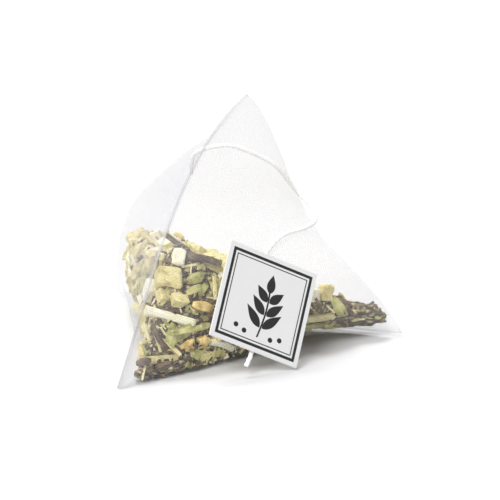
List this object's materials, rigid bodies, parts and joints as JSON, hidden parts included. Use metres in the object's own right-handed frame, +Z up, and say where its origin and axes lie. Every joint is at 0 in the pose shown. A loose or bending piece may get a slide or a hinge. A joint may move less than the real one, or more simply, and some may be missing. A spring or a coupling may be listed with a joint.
{
  "type": "pyramid tea bag",
  "caption": "Tetrahedral see-through mesh tea bag with a loose herb blend, a white string and a square paper tag.",
  "frame": {"origin": "on the floor under the middle of the bag's box, the string and tag left out", "axes": "+Z up; +Y away from someone facing the tag, along the bag's seal on the floor; +X to the right"},
  "size_m": [0.0602, 0.067, 0.0527],
  "materials": {
    "mesh_white": "see-through mesh",
    "string_white": "soft",
    "tag_white": "matte",
    "herb_root": "matte",
    "herb_pith": "matte",
    "herb_bark": "matte",
    "herb_leaf": "matte",
    "herb_straw": "matte",
    "herb_petal": "matte"
  },
  "bodies": {
    "root": {"bag": "mesh_white", "blossom_inside_07": "herb_petal", "blossom_inside_14": "herb_petal", "brown_chunk_right": "herb_bark", "chunk_inside_01": "herb_root", "chunk_inside_06": "herb_bark", "chunk_inside_08": "herb_root", "chunk_inside_13": "herb_bark", "chunk_inside_15": "herb_root", "chunk_inside_20": "herb_bark", "cream_chunk_right": "herb_pith", "cream_stick": "herb_pith", "curl_inside_03": "herb_leaf", "curl_inside_10": "herb_leaf", "curl_inside_17": "herb_leaf", "dark_flake_front": "herb_bark", "dark_flake_low": "herb_bark", "dark_strip_right": "herb_bark", "dim_peel": "herb_leaf", "flake_inside_05": "herb_leaf", "flake_inside_12": "herb_leaf", "flake_inside_19": "herb_leaf", "green_slat": "herb_leaf", "grey_flake": "herb_leaf", "hazy_stalk": "herb_straw", "leaf_curl_front": "herb_leaf", "long_slat": "herb_straw", "long_slat_low": "herb_leaf", "olive_slat_right": "herb_leaf", "orange_flower": "herb_petal", "pale_chunk": "herb_pith", "pale_chunk_top": "herb_pith", "pale_slat_right": "herb_straw", "pale_slat_upright": "herb_straw", "pale_stick_low": "herb_pith", "pink_petal": "herb_petal", "red_bit": "herb_petal", "root_block_left": "herb_root", "root_block_low": "herb_pith", "root_cube": "herb_root", "slat_inside_02": "herb_straw", "slat_inside_09": "herb_straw", "slat_inside_16": "herb_straw", "slat_upright": "herb_straw", "stalk_brown": "herb_bark", "stalk_top": "herb_bark", "stick_inside_04": "herb_bark", "stick_inside_11": "herb_bark", "stick_inside_18": "herb_bark", "string": "string_white", "striped_block_right": "herb_bark", "striped_stick": "herb_bark", "tag": "tag_white", "tan_chunk_right": "herb_root", "tan_peel": "herb_root", "yellow_chunk_right": "herb_root", "yellow_flower": "herb_petal", "yellow_twist": "herb_petal"}
  },
  "joints": []
}
